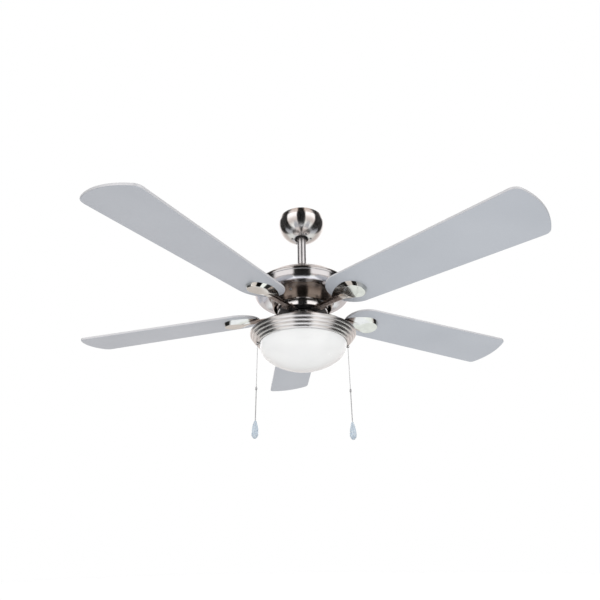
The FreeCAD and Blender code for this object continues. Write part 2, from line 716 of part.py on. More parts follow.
def rotor_small_parts():
    """Squirrel cage, the two bearings and the screws that close the case."""
    inner = S["stator_radius"] + S["air_gap"]
    outer = S["bell_radius"] - S["bell_wall"] - S["fit_gap"]
    cage_top = S["stator_top"] - 2
    cage = turned("rotor_cage", [
        (inner, cage_top), (outer, cage_top), (outer, cage_top + 24), (inner, cage_top + 24)])
    bore = S["shaft_radius"] + S["fit_gap"]
    width = S["bearing_width"]
    ring = turned("bearing_shape", [
        (bore, 0), (12, 0), (12.5, 0.6), (16.5, 0.6), (17, 0), (S["bearing_radius"], 0),
        (S["bearing_radius"], width), (17, width), (16.5, width - 0.6), (12.5, width - 0.6),
        (12, width), (bore, width)])
    tops = [-S["upper_bearing_top"].value, -S["lower_bearing_top"].value]
    bearings = copies("bearings", ring, [pose(0, 0, z) for z in tops])
    screw = screw_prototype("bell_screw_shape", 4.6)
    seat = -(S["bell_split"].value + 2.1)
    screws = copies("bell_screws", screw, [pose(s.x, s.y, seat) for s in bell_screw_spots()])
    return [cage, bearings, screws]


# ---------------------------------------------------------------- blades and irons

def blade_azimuths():
    count = int(S["blade_count"].value)
    return [S["first_blade_azimuth"].value + 360 / count * index for index in range(count)]


def blade_tilt():
    """Placement of the blade's underside: X out along the blade, Y across, Z off its top."""
    droop = FreeCAD.Rotation(Vector(0, 1, 0), S["blade_droop"].value)
    pitch = FreeCAD.Rotation(Vector(1, 0, 0), -S["blade_pitch"].value)
    station = S["blade_station"].value
    origin = Vector(station, 0, -S["blade_depth"].value) - droop.multVec(Vector(station, 0, 0))
    return FreeCAD.Placement(origin, droop.multiply(pitch))


def blade_outline():
    """Planform: a round root, straight edges that spread, and a bowed tip with round corners."""
    root, half, centre = S["root_offset"], S["root_half"], S["root_centre"]
    corner, bow = S["tip_corner"], S["tip_bow"]
    return [
        (S["low_side_end"], S["low_side"]),
        (S["low_corner"], S["low_corner_side"], corner, 1),
        (S["blade_tip"], S["tip_side"], bow, 1),
        (S["high_corner"], S["high_corner_side"], bow, 1),
        (S["high_side_end"], S["high_side"], S["tip_corner_high"], 1),
        (centre, root + half),
        (centre - half, root, half, 1),
        (centre, root - half, half, 1)]


def blade(index, azimuth):
    """One blade board with its three screw holes."""
    body = new_body(f"blade_{index}")
    board = pad(body, S["blade_thickness"], [blade_outline()])
    face_edges = chamfer_edges(body, board, 1.2, flat_edge, "PartDesign::Fillet")
    body.Tip = face_edges
    holes = [(x, y, S["screw_hole"] + 0.2) for x, y in BLADE_SCREW_SPOTS]
    pocket(body, S["blade_thickness"] + 2, circles=holes, depth=-S["blade_thickness"] - 1)
    body.Placement = around(azimuth).multiply(blade_tilt())
    return body


def flat_edge(edge):
    """True for an edge that lies in one level plane."""
    return edge.BoundBox.ZLength < 0.01


def egg(centre, half, end, neck, neck_half, tail, bow):
    """Egg shape: a round outer end, bowed sides, and a small round end towards the hub."""
    return [
        (centre, -half, bow, 1),
        (end, 0, half, 1),
        (centre, half, half, 1),
        (neck, neck_half, bow, 1),
        (tail, 0, neck_half + 1, 1),
        (neck, -neck_half, neck_half + 1, 1)]


def blade_iron(index, azimuth):
    """Cast iron: a foot under the hub, a twisted arm, and a hollow spoon under the blade."""
    body = new_body(f"blade_iron_{index}")
    tilt = blade_tilt()
    depth, floor = S["spoon_depth"].value, 3
    under = tilt.multiply(pose(0, 0, -depth))
    rim = egg(S["spoon_centre"], S["spoon_half"], S["spoon_end"], S["spoon_neck"],
              S["spoon_neck_half"], S["spoon_tail"], S["spoon_bow"])
    dish = egg(S["dish_centre"], S["dish_half"], S["dish_end"], S["dish_neck"],
               S["dish_neck_half"], S["dish_tail"], S["dish_bow"])
    spoon = body.newObject("PartDesign::AdditiveLoft", body.Label + "_spoon")
    spoon.Profile = new_sketch(body, "XY_Plane", [rim], offset=tilt)
    spoon.Sections = [new_sketch(body, "XY_Plane", [dish], offset=under)]
    body.Tip = chamfer_edges(body, spoon, 0.6, lambda edge: on_plane(edge, under),
                             "PartDesign::Fillet")
    hollow = [(S["dish_centre"] + 1, 0, 19.5)]
    pocket(body, depth - floor + 1, circles=hollow, offset=tilt.multiply(pose(0, 0, 1)))
    posts = [(x, y, 5.5) for x, y in BLADE_SCREW_SPOTS]
    pad(body, depth - 1, circles=posts, offset=tilt.multiply(pose(0, 0, -depth + 1)))
    foot_bottom = S["hub_bottom"] + S["foot_thickness"]
    pad(body, S["foot_thickness"],
        [rectangle(S["foot_inner"], S["foot_outer"], -15, 15)], depth=foot_bottom)
    arm(body, tilt, foot_bottom)
    document.recompute()
    screw_holes = [(x, y, S["screw_hole"]) for x, y in IRON_SCREW_SPOTS]
    pocket(body, 8, circles=screw_holes, depth=S["hub_bottom"] - 1)
    threads = [(x, y, S["screw_hole"]) for x, y in BLADE_SCREW_SPOTS]
    pocket(body, depth, circles=threads, offset=tilt.multiply(pose(0, 0, 1)))
    body.Placement = around(azimuth)
    return body


def arm_section(height):
    """Bar with its two lower edges cut off at a slant, standing on its own X axis."""
    half, flat = S["arm_width"] * 0.5, S["arm_width"] * 0.3
    return [(-half, height), (-half, height * 0.45), (-flat, 0), (flat, 0),
            (half, height * 0.45), (half, height)]


def arm(body, tilt, foot_bottom):
    """Loft from a level section in the foot to one at the dish, turned to the blade's pitch."""
    margin = 0.4
    root = (S["foot_outer"].value - 6, margin - foot_bottom.value)
    end = tilt.multVec(Vector(S["arm_end"].value, 0, -S["spoon_depth"].value))
    places = [
        (*root, 0, S["foot_thickness"] - 2 * margin),
        (end.x, end.z, -S["blade_pitch"].value, S["arm_thickness"])]
    sections = []
    for x, z, twist, height in places:
        offset = FreeCAD.Placement(Vector(0, z, x), FreeCAD.Rotation(Vector(0, 0, 1), twist))
        sections.append(new_sketch(body, "YZ_Plane", [arm_section(height)], offset=offset))
    loft = body.newObject("PartDesign::AdditiveLoft", body.Label + "_arm")
    loft.Profile = sections[0]
    loft.Sections = sections[1:]
    return loft


def on_plane(edge, plane):
    """True where every vertex of the edge lies on the placement's XY plane."""
    inverse = plane.inverse()
    return all(abs(inverse.multVec(vertex.Point).z) < 0.01 for vertex in edge.Vertexes)


def blade_set():
    """Five irons and five blades with the screws that hold them."""
    irons = [blade_iron(i, a) for i, a in enumerate(blade_azimuths(), start=1)]
    blades = [blade(i, a) for i, a in enumerate(blade_azimuths(), start=1)]
    iron_screw = screw_prototype("iron_screw_shape", 9)
    foot = -(S["hub_bottom"].value + S["foot_thickness"].value)
    iron_screws = copies("iron_screws", iron_screw, [
        around(azimuth).multiply(pose(x, y, foot))
        for azimuth in blade_azimuths() for x, y in IRON_SCREW_SPOTS])
    blade_screw = screw_prototype("blade_screw_shape", 14)
    top = S["blade_thickness"].value
    blade_screws = copies("blade_screws", blade_screw, [
        around(azimuth).multiply(blade_tilt()).multiply(pose(x, y, top, (1, 0, 0), 180))
        for azimuth in blade_azimuths() for x, y in BLADE_SCREW_SPOTS])
    return irons + blades + [iron_screws, blade_screws]


# ---------------------------------------------------------------- light kit

def light_pan():
    """Spun dome of the light kit with its raised boss, hung on the mounting plate."""
    skin, flat, top = S["kit_skin"], S["kit_flat_radius"], S["kit_top"]
    boss, boss_top = S["kit_boss_radius"], S["kit_boss_top"]
    shoulder, edge, lip = S["kit_shoulder_radius"], S["kit_edge_radius"], S["kit_lip_radius"]
    hole = S["shaft_radius"] + 0.5
    body = turned("light_pan", [
        (hole, boss_top), (boss - 2, boss_top), (boss, boss_top + 2, 2, -1), (boss, top),
        (flat, top), (shoulder, S["kit_shoulder"], 110, -1),
        (edge, S["kit_edge"] - 1, 110, -1), (edge, S["kit_edge"]), (lip, S["kit_edge"]),
        (lip, S["kit_edge"] - skin), (edge - 2.4, S["kit_edge"] - skin),
        (shoulder - 0.5, S["kit_shoulder"] + skin, 109, 1), (flat, top + skin, 109, 1),
        (boss - skin, top + skin), (boss - skin, boss_top + 3), (hole, boss_top + 3)])
    pocket(body, 4, circles=holes_at(plate_screw_spots()), depth=top - 1)
    pocket(body, 3, circles=holes_at(ring_screw_spots()), depth=S["kit_edge"] - 2)
    rear_slot(body)
    return body


def ring_screw_spots():
    return [around(azimuth, 131).Base for azimuth in (75, 195, 315)]


def plate_screw_spots():
    return [around(azimuth, 49).Base for azimuth in (45, 165, 285)]


def switch_pose(shift=0.0):
    """Frame of the reversing switch on the pan's rear slope: X sideways, Z off the surface."""
    run = S["kit_edge_radius"].value - S["kit_shoulder_radius"].value
    fall = S["kit_edge"].value - S["kit_shoulder"].value
    slope = math.degrees(math.atan2(fall, run))
    return pose(shift, 118, -359, (1, 0, 0), -slope)


def rear_slot(body):
    """Window for the reversing switch's slider."""
    place = switch_pose().multiply(pose(0, 0, 6))
    pocket(body, 14, [rectangle(-8.5, 8.5, -3, 3)], offset=place)


def trim_ring():
    """Ribbed ring that closes the pan and carries the glass on an inner shelf."""
    skin, end, top = S["kit_skin"], S["ring_end_radius"], S["kit_edge"] + 0.1
    lip, bottom = S["kit_lip_radius"], S["ring_end"]
    body = turned("trim_ring", [
        (lip, top), (140.5, top), (135, 380.2, 6.4, -1), (128.5, 387.8, 6.1, -1),
        (121.5, 395.2, 6.2, -1), (end, bottom, 5.6, -1), (end - skin, bottom - skin),
        (120.6, 394), (127.4, 386.6), (133.8, 379.4), (137.4, top + skin), (lip, top + skin)])
    shelf = S["shelf_depth"]
    revolve(body, [(S["shelf_radius"], shelf), (123.5, shelf), (122.4, shelf + skin),
                   (S["shelf_radius"], shelf + skin)])
    chain_holes = [(place.Base.x, place.Base.y, 2.75) for place in chain_places()]
    pocket(body, 14, circles=chain_holes, depth=shelf - 1)
    notches = [rectangle_at(azimuth, 110, 119, 8) for azimuth in (40, 160, 280)]
    pocket(body, 3, notches, depth=shelf - 1)
    pocket(body, 3, circles=holes_at(ring_screw_spots()), depth=top - 0.5)
    return body


def rectangle_at(azimuth, inner, outer, half):
    """A rectangle lying radially at an azimuth, as an outline."""
    place = around(azimuth)
    corners = [(inner, -half), (outer, -half), (outer, half), (inner, half)]
    points = [place.multVec(Vector(x, y, 0)) for x, y in corners]
    return [(point.x, point.y) for point in points]


def chain_places():
    """Placements of the two pull chains' axes at ceiling height: right, then left."""
    azimuth = S["chain_azimuth"].value
    return [around(azimuth + turn, S["chain_reach"].value) for turn in (0, 180)]


def glass_bowl():
    """Opal glass bowl with an upright neck and three lugs for the twist lock."""
    wall, neck, rim = S["glass_thickness"], S["glass_neck_radius"], S["glass_radius"]
    seat, knee, low = S["glass_seat"], S["glass_knee"], S["glass_bottom"]
    knee_radius = S["glass_knee_radius"]
    rim_curve, base_curve = S["glass_rim_curve"], S["glass_base_curve"]
    body = turned("glass_bowl", [
        (neck - wall, S["glass_top"]), (neck, S["glass_top"]), (neck, seat - 3),
        (rim, seat + 0.6, 6, -1), (knee_radius, knee, rim_curve, -1),
        (0, low, base_curve, -1), (0, low - wall),
        (knee_radius - wall * 0.6, knee - wall * 0.8, base_curve - wall, 1),
        (neck - wall, seat, rim_curve - wall, 1)])
    lugs = [rectangle_at(azimuth, 109.5, 117.5, 6) for azimuth in (20, 140, 260)]
    pad(body, 4, lugs, depth=S["shelf_depth"] - 0.1)
    return body


def kit_mount():
    """Mounting plate on the shaft, the nut under it, and the lamp plate between them."""
    bore = S["shaft_radius"] + S["fit_gap"]
    top, skin = S["kit_top"] + S["kit_skin"] + 0.1, S["kit_skin"]
    collar, collar_end = 13, S["kit_top"] + 13
    plate = turned("kit_plate", [
        (bore, top), (57, top), (57, top + 5), (55.5, top + 5), (55.5, top + 2),
        (collar, top + 2), (collar, collar_end), (bore, collar_end)])
    pocket(plate, 6, circles=holes_at(plate_screw_spots()), depth=top - 1)
    hub_top = collar_end + 0.1
    floor, reach = S["lamp_plate_depth"], S["lamp_plate_radius"]
    lamp_plate = turned("lamp_plate", [
        (bore, hub_top), (18, hub_top), (30, floor), (reach, floor), (reach, floor + 5),
        (reach - skin, floor + 5), (reach - skin, floor + skin), (30 - skin, floor + skin),
        (18 - skin, hub_top + skin), (bore, hub_top + skin)])
    pocket(lamp_plate, 4, circles=holes_at(bracket_screw_spots()), depth=floor - 1)
    nut = new_body("kit_nut")
    nut_top = hub_top + skin + 0.1
    corners = [around(60 * index, 14).Base for index in range(6)]
    pad(nut, 6, [[(c.x, c.y) for c in corners]], [(0, 0, bore)], depth=nut_top + 6)
    return [plate, lamp_plate, nut]


def bracket_screw_spots():
    return [Vector(0, side * 41, 0) for side in (1, -1)]


def lamps():
    """Bracket, two small-base holders back to back, and their round bulbs."""
    bracket = new_body("lamp_bracket")
    top = S["lamp_plate_depth"] + S["kit_skin"] + 0.1
    pad(bracket, 2, [rectangle(-13, 13, -48, 48)], depth=top + 2)
    uprights = [rectangle(-13, 13, side * 9 - 1, side * 9 + 1) for side in (-1, 1)]
    pad(bracket, 36, uprights, depth=top + 37)
    pocket(bracket, 4, circles=holes_at(bracket_screw_spots()), depth=top - 1)
    holder = turned("lamp_holder_shape", [
        (0, -10.1), (13, -10.1), (13, -26), (11.5, -27.5), (11.5, -36), (7.6, -36), (7.6, -15),
        (0, -15)])
    cap = turned("bulb_cap_shape", [
        (0, -17), (3, -17), (7, -20), (7.2, -37), (9, -40), (8, -40), (6.2, -38), (6.2, -21),
        (0, -21)])
    radius = S["bulb_radius"]
    neck, centre = 9, 66
    join = centre - math.sqrt(radius.value ** 2 - 11 ** 2)
    bulb = turned("bulb_shape", [
        (neck, -40.1), (11, -join), (radius, -centre, radius, 1),
        (0, -radius - centre, radius, 1), (0, -radius - (centre - 0.8)),
        (radius - 0.8, -centre, radius - 0.8, -1), (10.2, -join - 0.2, radius - 0.8, -1),
        (neck - 0.9, -40.1)])
    level = -S["lamp_depth"].value
    outward = [pose(0, 0, level, (1, 0, 0), side * -90) for side in (1, -1)]
    return [bracket, copies("lamp_holders", holder, outward),
            copies("bulb_caps", cap, outward), copies("bulbs", bulb, outward)]


def kit_electrics():
    """Run capacitor, the two pull switches with their nozzle nuts, and the reversing switch."""
    capacitor = block("capacitor", 48, 26, 20, Vector(0, -80, -365.8))
    switches = []
    for label, place in zip(("light_switch", "speed_switch"), chain_places()):
        body = new_body(label)
        pad(body, 19, [rectangle(-15.5, 6, -12, 12)], depth=385)
        pad(body, 20, circles=[(0, 0, 2.6)], depth=S["chain_exit"])
        document.recompute()
        pocket(body, 34, circles=[(0, 0, S["chain_radius"] + 0.15)], depth=371)
        body.Placement = place
        switches.append(body)
    nut = turned("nozzle_nut_shape", [
        (2.65, 401.3), (4.2, 401.3), (4.2, 403.2), (3.8, 403.6), (2.65, 403.6)])
    nuts = copies("nozzle_nuts", nut, chain_places())
    reverse = new_body("reverse_switch")
    pad(reverse, 9, [rectangle(-13, 13, -5.5, 5.5)], depth=11)
    pocket(reverse, 5, [rectangle(-8, 8, -2.6, 2.6)], depth=1)
    reverse.Placement = switch_pose()
    slider = new_body("reverse_slider")
    pad(slider, 3.4, [rectangle(-3.5, 3.5, -2.4, 2.4)], depth=5.6)
    pad(slider, 7, [rectangle(-2, 2, -1.8, 1.8)], depth=3)
    slider.Placement = switch_pose(-4)
    return [capacitor, *switches, nuts, reverse, slider]


def panel_screws():
    """All the M4 panel screws of the hanging frame, in one group."""
    screw = screw_prototype("panel_screw_shape", 6)
    cover = [pose(s.x, s.y, -S["cover_depth"].value, (1, 0, 0), 180)
             for s in cover_screw_spots()]
    spider_seat = -(S["spider_depth"].value + S["sheet_thickness"].value)
    spider = [pose(s.x, s.y, spider_seat) for s in spider_screw_spots()]
    wall = [around(HOUSING_SCREW_AZIMUTH + 120 * index, 86, -HOUSING_SCREW_DEPTH).multiply(
        pose(0, 0, 0, (0, 1, 0), -90)) for index in range(3)]
    plate = [pose(s.x, s.y, -S["kit_top"].value, (1, 0, 0), 180) for s in plate_screw_spots()]
    bracket_seat = -(S["lamp_plate_depth"].value + S["kit_skin"].value + 2.1)
    bracket = [pose(s.x, s.y, bracket_seat) for s in bracket_screw_spots()]
    ring_seat = -(S["kit_edge"].value + 0.1 + S["kit_skin"].value + 0.1)
    ring = copies("ring_screws", screw_prototype("ring_screw_shape", 2.6), [
        pose(s.x, s.y, ring_seat) for s in ring_screw_spots()])
    rest = copies("panel_screws_of_6_mm", screw, cover + spider + wall + plate + bracket)
    return fuse("panel_screws", rest, ring)


def pull_chains():
    """Two identical pull chains: the chain, its coupling and the drop on its end."""
    nodes = []
    for name, place in zip(("light", "speed"), chain_places()):
        length = S["pendant_top"] - S["chain_top"]
        z = -S["pendant_top"].value
        chain = cylinder(f"{name}_chain", S["chain_radius"], length,
                         place.multiply(pose(0, 0, z)))
        coupling = turned(f"{name}_chain_coupling", coupling_profile())
        coupling.Placement = place
        pendant = turned(f"{name}_pendant", pendant_profile())
        pendant.Placement = place
        nodes += [chain, coupling, pendant]
    return nodes


def coupling_profile():
    """Small barrel around the chain."""
    bore = S["chain_radius"] + 0.05
    top, bottom = S["coupling_depth"], S["coupling_depth"] + S["coupling_length"]
    return [(bore, top), (1.8, top), (2.4, top + 1.2, 2, -1), (2.4, bottom - 1.2),
            (1.8, bottom, 2, -1), (bore, bottom)]


def pendant_profile():
    """Teardrop: a narrow top that swells evenly to a round end."""
    top, radius = S["pendant_top"], S["pendant_radius"]
    bottom = top + S["pendant_length"]
    widest = top + S["pendant_length"] * 0.62
    return [(0, top), (2.1, top), (2.7, top + 1.5), (radius, widest, 60, -1),
            (radius * 0.68, bottom - 3.4, 14, -1), (0, bottom, 7.5, -1)]


# ---------------------------------------------------------------- build and export

def build_fan():
    """Every sub-part, from the ceiling down."""
    parts = ceiling_parts()
    parts += [hanger_ball(), downrod(), motor_yoke(), rod_leads(), yoke_cover()]
    parts += yoke_fasteners()
    parts += [housing_cover(), housing_shell(), housing_spider()]
    parts += [motor_shaft(), stator_core(), stator_windings(), upper_bell(), lower_bell()]
    parts += rotor_small_parts()
    parts += blade_set()
    parts += [light_pan(), trim_ring(), glass_bowl()]
    parts += kit_mount() + lamps() + kit_electrics() + [panel_screws()] + pull_chains()
    return parts


def check(parts):
    """Stop if any object failed or any sub-part has no valid solid."""
    faults = [f"{item.Label}: {item.State}" for item in document.Objects
              if {"Invalid", "Error"} & set(item.State)]
    for part in parts:
        if part.Shape.isNull() or not part.Shape.isValid() or not part.Shape.Solids:
            faults.append(f"{part.Label}: no valid solid")
    if faults:
        raise ValueError("; ".join(faults))


def export(parts):
    os.makedirs("parts", exist_ok=True)
    for part in parts:
        part.Shape.exportStep(f"parts/{part.Label}.step")
    print(f"{len(parts)} sub-parts written")


fan = build_fan()
document.recompute()
check(fan)
export(fan)
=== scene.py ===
"""Ceiling fan with light: the camera, studio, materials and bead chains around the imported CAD
model. All lengths are in metres."""

import json
import math

import bmesh
import bpy
from mathutils import Matrix, Vector


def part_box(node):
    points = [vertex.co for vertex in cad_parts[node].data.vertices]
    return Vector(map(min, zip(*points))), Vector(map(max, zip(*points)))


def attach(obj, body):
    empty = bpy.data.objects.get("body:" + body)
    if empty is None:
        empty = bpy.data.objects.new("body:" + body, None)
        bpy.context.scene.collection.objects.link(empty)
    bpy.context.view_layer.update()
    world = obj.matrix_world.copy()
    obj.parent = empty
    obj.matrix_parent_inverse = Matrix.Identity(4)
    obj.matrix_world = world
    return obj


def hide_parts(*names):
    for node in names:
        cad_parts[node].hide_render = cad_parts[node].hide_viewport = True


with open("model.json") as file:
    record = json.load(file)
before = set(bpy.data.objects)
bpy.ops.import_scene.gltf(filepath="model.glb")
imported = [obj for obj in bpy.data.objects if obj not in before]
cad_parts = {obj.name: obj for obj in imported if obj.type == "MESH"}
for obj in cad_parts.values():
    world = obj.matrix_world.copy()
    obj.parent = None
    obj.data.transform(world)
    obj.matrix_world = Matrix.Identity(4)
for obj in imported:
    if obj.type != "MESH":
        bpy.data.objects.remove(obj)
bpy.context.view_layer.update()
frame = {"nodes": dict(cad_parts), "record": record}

CAMERA_PLACE = Vector((0.0, -1.167, -0.854))
CAMERA_PITCH = math.radians(26.65)
CAMERA_YAW = math.radians(-0.34)
CAMERA_ROLL = math.radians(-0.79)
CAMERA_LENS_MM = 28.35
FLOOR_DEPTH = 2.35
BEAD_DIAMETER = 0.0024
BEAD_PITCH = 0.0031
FINE_BEAD, COARSE_BEAD = 0.0021, 0.0029
LINK_RADIUS = BEAD_DIAMETER * 0.17
FLOOR_RADIUS = 24
SIDES = ("light", "speed")


# ---------------------------------------------------------------- camera and pull chains

def make_camera():
    """Below the fan and in front of it, looking up at the housing."""
    ahead = Vector((math.sin(CAMERA_YAW) * math.cos(CAMERA_PITCH),
                    math.cos(CAMERA_YAW) * math.cos(CAMERA_PITCH), math.sin(CAMERA_PITCH)))
    right = ahead.cross(Vector((0, 0, 1))).normalized()
    up = right.cross(ahead)
    turned_right = right * math.cos(CAMERA_ROLL) + up * math.sin(CAMERA_ROLL)
    turned_up = up * math.cos(CAMERA_ROLL) - right * math.sin(CAMERA_ROLL)
    data = bpy.data.cameras.new("camera")
    data.lens = CAMERA_LENS_MM
    data.clip_end = 60
    camera = bpy.data.objects.new("camera", data)
    axes = Matrix((turned_right, turned_up, -ahead)).transposed()
    camera.matrix_world = Matrix.Translation(CAMERA_PLACE) @ axes.to_4x4()
    bpy.context.scene.collection.objects.link(camera)
    bpy.context.scene.camera = camera


def new_piece(name, mesh, body):
    """An object of this mesh that rides on a body."""
    piece = bpy.data.objects.new(name, mesh)
    bpy.context.scene.collection.objects.link(piece)
    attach(piece, body)
    return piece


def hanging_line(node):
    """The points of a straight hanging chain's NURBS spline, from its exit down."""
    low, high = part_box(node)
    middle = (low + high) / 2
    curve = bpy.data.curves.new(node + "_route", "CURVE")
    curve.dimensions = "3D"
    spline = curve.splines.new("NURBS")
    spline.points.add(2)
    for point, height in zip(spline.points, (high.z, middle.z, low.z)):
        point.co = (middle.x, middle.y, height, 1)
    spline.order_u = 3
    spline.use_endpoint_u = True
    bare = bpy.data.objects.new(node + "_route", curve)
    mesh = bpy.data.meshes.new_from_object(bare)
    points = [vertex.co.copy() for vertex in mesh.vertices]
    bpy.data.meshes.remove(mesh)
    bpy.data.objects.remove(bare)
    return points


def bead_chain(side):
    """Ball chain along the hanging line: fine beads above the coupling, coarse ones below it."""
    points = hanging_line(f"{side}_chain")
    start, end = points[0], points[-1]
    count = int((end - start).length / BEAD_PITCH)
    step = (end - start) / count
    coupling_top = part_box(f"{side}_chain_coupling")[1].z
    mesh = bmesh.new()
    for index in range(count + 1):
        centre = start + step * index
        bead = FINE_BEAD if centre.z > coupling_top else COARSE_BEAD
        bmesh.ops.create_uvsphere(mesh, u_segments=12, v_segments=9, radius=bead / 2,
                                  matrix=Matrix.Translation(centre))
        if index < count:
            bmesh.ops.create_cone(mesh, segments=6, radius1=LINK_RADIUS, radius2=LINK_RADIUS,
                                  depth=BEAD_PITCH,
                                  matrix=Matrix.Translation(centre + step / 2))
    data = bpy.data.meshes.new(f"{side}_bead_chain")
    mesh.to_mesh(data)
    mesh.free()
    data.shade_smooth()
    chain = new_piece(f"{side}_bead_chain", data, f"{side}_pull")
    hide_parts(f"{side}_chain")
    return chain


# ---------------------------------------------------------------- studio

def add_node(tree, kind, inputs=None, **settings):
    """A node with its settings and inputs; an input that is a socket is linked."""
    node = tree.nodes.new(kind)
    for name, value in settings.items():
        setattr(node, name, value)
    for key, value in (inputs or {}).items():
        if isinstance(value, bpy.types.NodeSocket):
            tree.links.new(value, node.inputs[key])
        else:
            node.inputs[key].default_value = value
    return node


def calculate(tree, operation, first, second=0.0, third=0.0):
    """The output of a math node."""
    node = add_node(tree, "ShaderNodeMath", {0: first, 1: second, 2: third},
                    operation=operation)
    return node.outputs[0]


def ramp(tree, factor, stops, interpolation="LINEAR"):
    """A colour ramp through (position, grey level or colour) stops."""
    node = add_node(tree, "ShaderNodeValToRGB", {0: factor})
    node.color_ramp.interpolation = interpolation
    elements = node.color_ramp.elements
    while len(elements) < len(stops):
        elements.new(0.5)
    for element, (position, colour) in zip(elements, stops):
        element.position = position
        rgb = colour if isinstance(colour, tuple) else (colour,) * 3
        element.color = (*rgb, 1)
    return node.outputs[0]


# Grey levels by how far a direction turns from the front, 0, to the back, 1.
PANEL_STOPS = (
    (0.0, 0.006), (0.105, 0.006), (0.125, 1.0), (0.375, 1.0), (0.395, 0.02),
    (0.70, 0.03), (0.75, 0.85), (1.0, 0.85))
# The same panels' tints, and the other ramps, by height: 0 is straight down and 1 straight up.
PANEL_TINTS = (
    (0.20, (0.74, 0.76, 0.74)), (0.32, (0.46, 0.42, 0.40)), (0.50, (0.62, 0.56, 0.53)),
    (0.62, (1.0, 0.98, 0.98)), (0.84, (1.0, 0.97, 0.97)), (0.90, (0.50, 0.41, 0.36)))
FLOOR_SHARE = ((0.04, 1.0), (0.13, 0.0))
FLOOR_GLOSS = (0.74, 0.75, 0.78, 1)
ROOM_GLOW = ((0.0, 0.80), (0.25, 0.86), (0.5, 0.99), (1.0, 0.66))
GLOW_STRENGTH, REFLECTION_STRENGTH = 1.42, 1.5


def make_world():
    """White to the camera; in reflections, tall soft panels that dim towards the horizon."""
    world = bpy.data.worlds.new("studio")
    bpy.context.scene.world = world
    world.use_nodes = True
    tree = world.node_tree
    tree.nodes.clear()
    direction = add_node(tree, "ShaderNodeTexCoord").outputs["Generated"]
    x, y, z = add_node(tree, "ShaderNodeSeparateXYZ", {0: direction}).outputs
    front = calculate(tree, "MULTIPLY", y, -1.0)
    turn = calculate(tree, "ABSOLUTE", calculate(tree, "ARCTAN2", x, front))
    share = calculate(tree, "DIVIDE", turn, math.pi)
    rise = calculate(tree, "MULTIPLY_ADD", z, 0.5, 0.5)
    panels = add_node(tree, "ShaderNodeMix", {
        0: 1.0, 6: ramp(tree, share, PANEL_STOPS), 7: ramp(tree, rise, PANEL_TINTS)},
        data_type="RGBA", blend_type="MULTIPLY").outputs[2]
    level = add_node(tree, "ShaderNodeMix", {
        0: ramp(tree, rise, FLOOR_SHARE), 6: panels, 7: FLOOR_GLOSS},
        data_type="RGBA").outputs[2]
    path = add_node(tree, "ShaderNodeLightPath")
    seen = add_node(tree, "ShaderNodeBackground", {"Color": (1, 1, 1, 1), "Strength": 1.0})
    glow = add_node(tree, "ShaderNodeBackground", {
        "Color": ramp(tree, rise, ROOM_GLOW), "Strength": GLOW_STRENGTH})
    reflected = add_node(tree, "ShaderNodeBackground", {
        "Color": level, "Strength": REFLECTION_STRENGTH})
    other = add_node(tree, "ShaderNodeMixShader", {
        0: path.outputs["Is Glossy Ray"], 1: glow.outputs[0], 2: reflected.outputs[0]})
    whole = add_node(tree, "ShaderNodeMixShader", {
        0: path.outputs["Is Camera Ray"], 1: other.outputs[0], 2: seen.outputs[0]})
    add_node(tree, "ShaderNodeOutputWorld", {0: whole.outputs[0]})


def make_floor():
    """A wide pale floor under the fan."""
    mesh = bmesh.new()
    bmesh.ops.create_circle(mesh, cap_ends=True, segments=96, radius=FLOOR_RADIUS,
                            matrix=Matrix.Translation((0, 0, -FLOOR_DEPTH)))
    data = bpy.data.meshes.new("floor")
    mesh.to_mesh(data)
    mesh.free()
    floor = bpy.data.objects.new("floor", data)
    bpy.context.scene.collection.objects.link(floor)
    data.materials.append(surface("pale_floor", {"Base Color": (0.96, 0.96, 0.96, 1),
                                                 "Roughness": 0.9}))
    floor.visible_glossy = False
    floor.visible_diffuse = False


# ---------------------------------------------------------------- materials

# The nickel's roughnesses and grey levels, the radii round the shaft where painted light
# begins, and that painted shade, highlight and reflection laid over the nickel.
SPUN_ROUGHNESS = (0.16, 0.21)
RING_ROUGHNESS = (0.30, 0.36)
# The shell's band is set darker and the ring lighter than the rest of the nickel: painted shade
# on the band, a painted highlight on the ring.
BAND_SHADE_LEVEL, RING_HIGHLIGHT_LEVEL = 0.46, 0.86
BAND_INNER, THROAT_RADIUS, ARM_END, HUB_EDGE = 0.1295, 0.093, 0.150, 0.062
# Matt black laid on as painted shade under the hub and on the irons' feet.
SHADE_BLACK = {"Base Color": (0.012, 0.012, 0.014, 1), "Roughness": 0.5, "Metallic": 0.0}
# A paler colour laid on the shell's bevel as a painted highlight.
BEVEL_PAINTED_HIGHLIGHT = {"Base Color": (0.84, 0.83, 0.86, 1)}
# A brown laid in the housing's throat as a painted reflection.
THROAT_PAINTED_REFLECTION = {"Base Color": (0.24, 0.195, 0.165, 1), "Roughness": 0.26}
# A brown laid on the irons' arms as a painted reflection.
ARM_PAINTED_REFLECTION = {"Base Color": (0.25, 0.205, 0.18, 1), "Roughness": 0.24}


def surface(name, sockets):
    """A Principled material with these constants on its own sockets."""
    material = bpy.data.materials.new(name)
    material.use_nodes = True
    shader = material.node_tree.nodes["Principled BSDF"]
    for key, value in sockets.items():
        shader.inputs[key].default_value = value
    return material


def shader_of(material):
    return material.node_tree.nodes["Principled BSDF"]


def noise(tree, vector, scale, detail=2.0, roughness=0.5):
    """A noise texture's grey value."""
    node = add_node(tree, "ShaderNodeTexNoise", {
        "Vector": vector, "Scale": scale, "Detail": detail, "Roughness": roughness})
    return node.outputs[0]


def between(tree, factor, low, high):
    """The factor mapped from 0.3..0.7 to low..high."""
    node = add_node(tree, "ShaderNodeMapRange", {
        0: factor, "From Min": 0.3, "From Max": 0.7, "To Min": low, "To Max": high})
    return node.outputs[0]


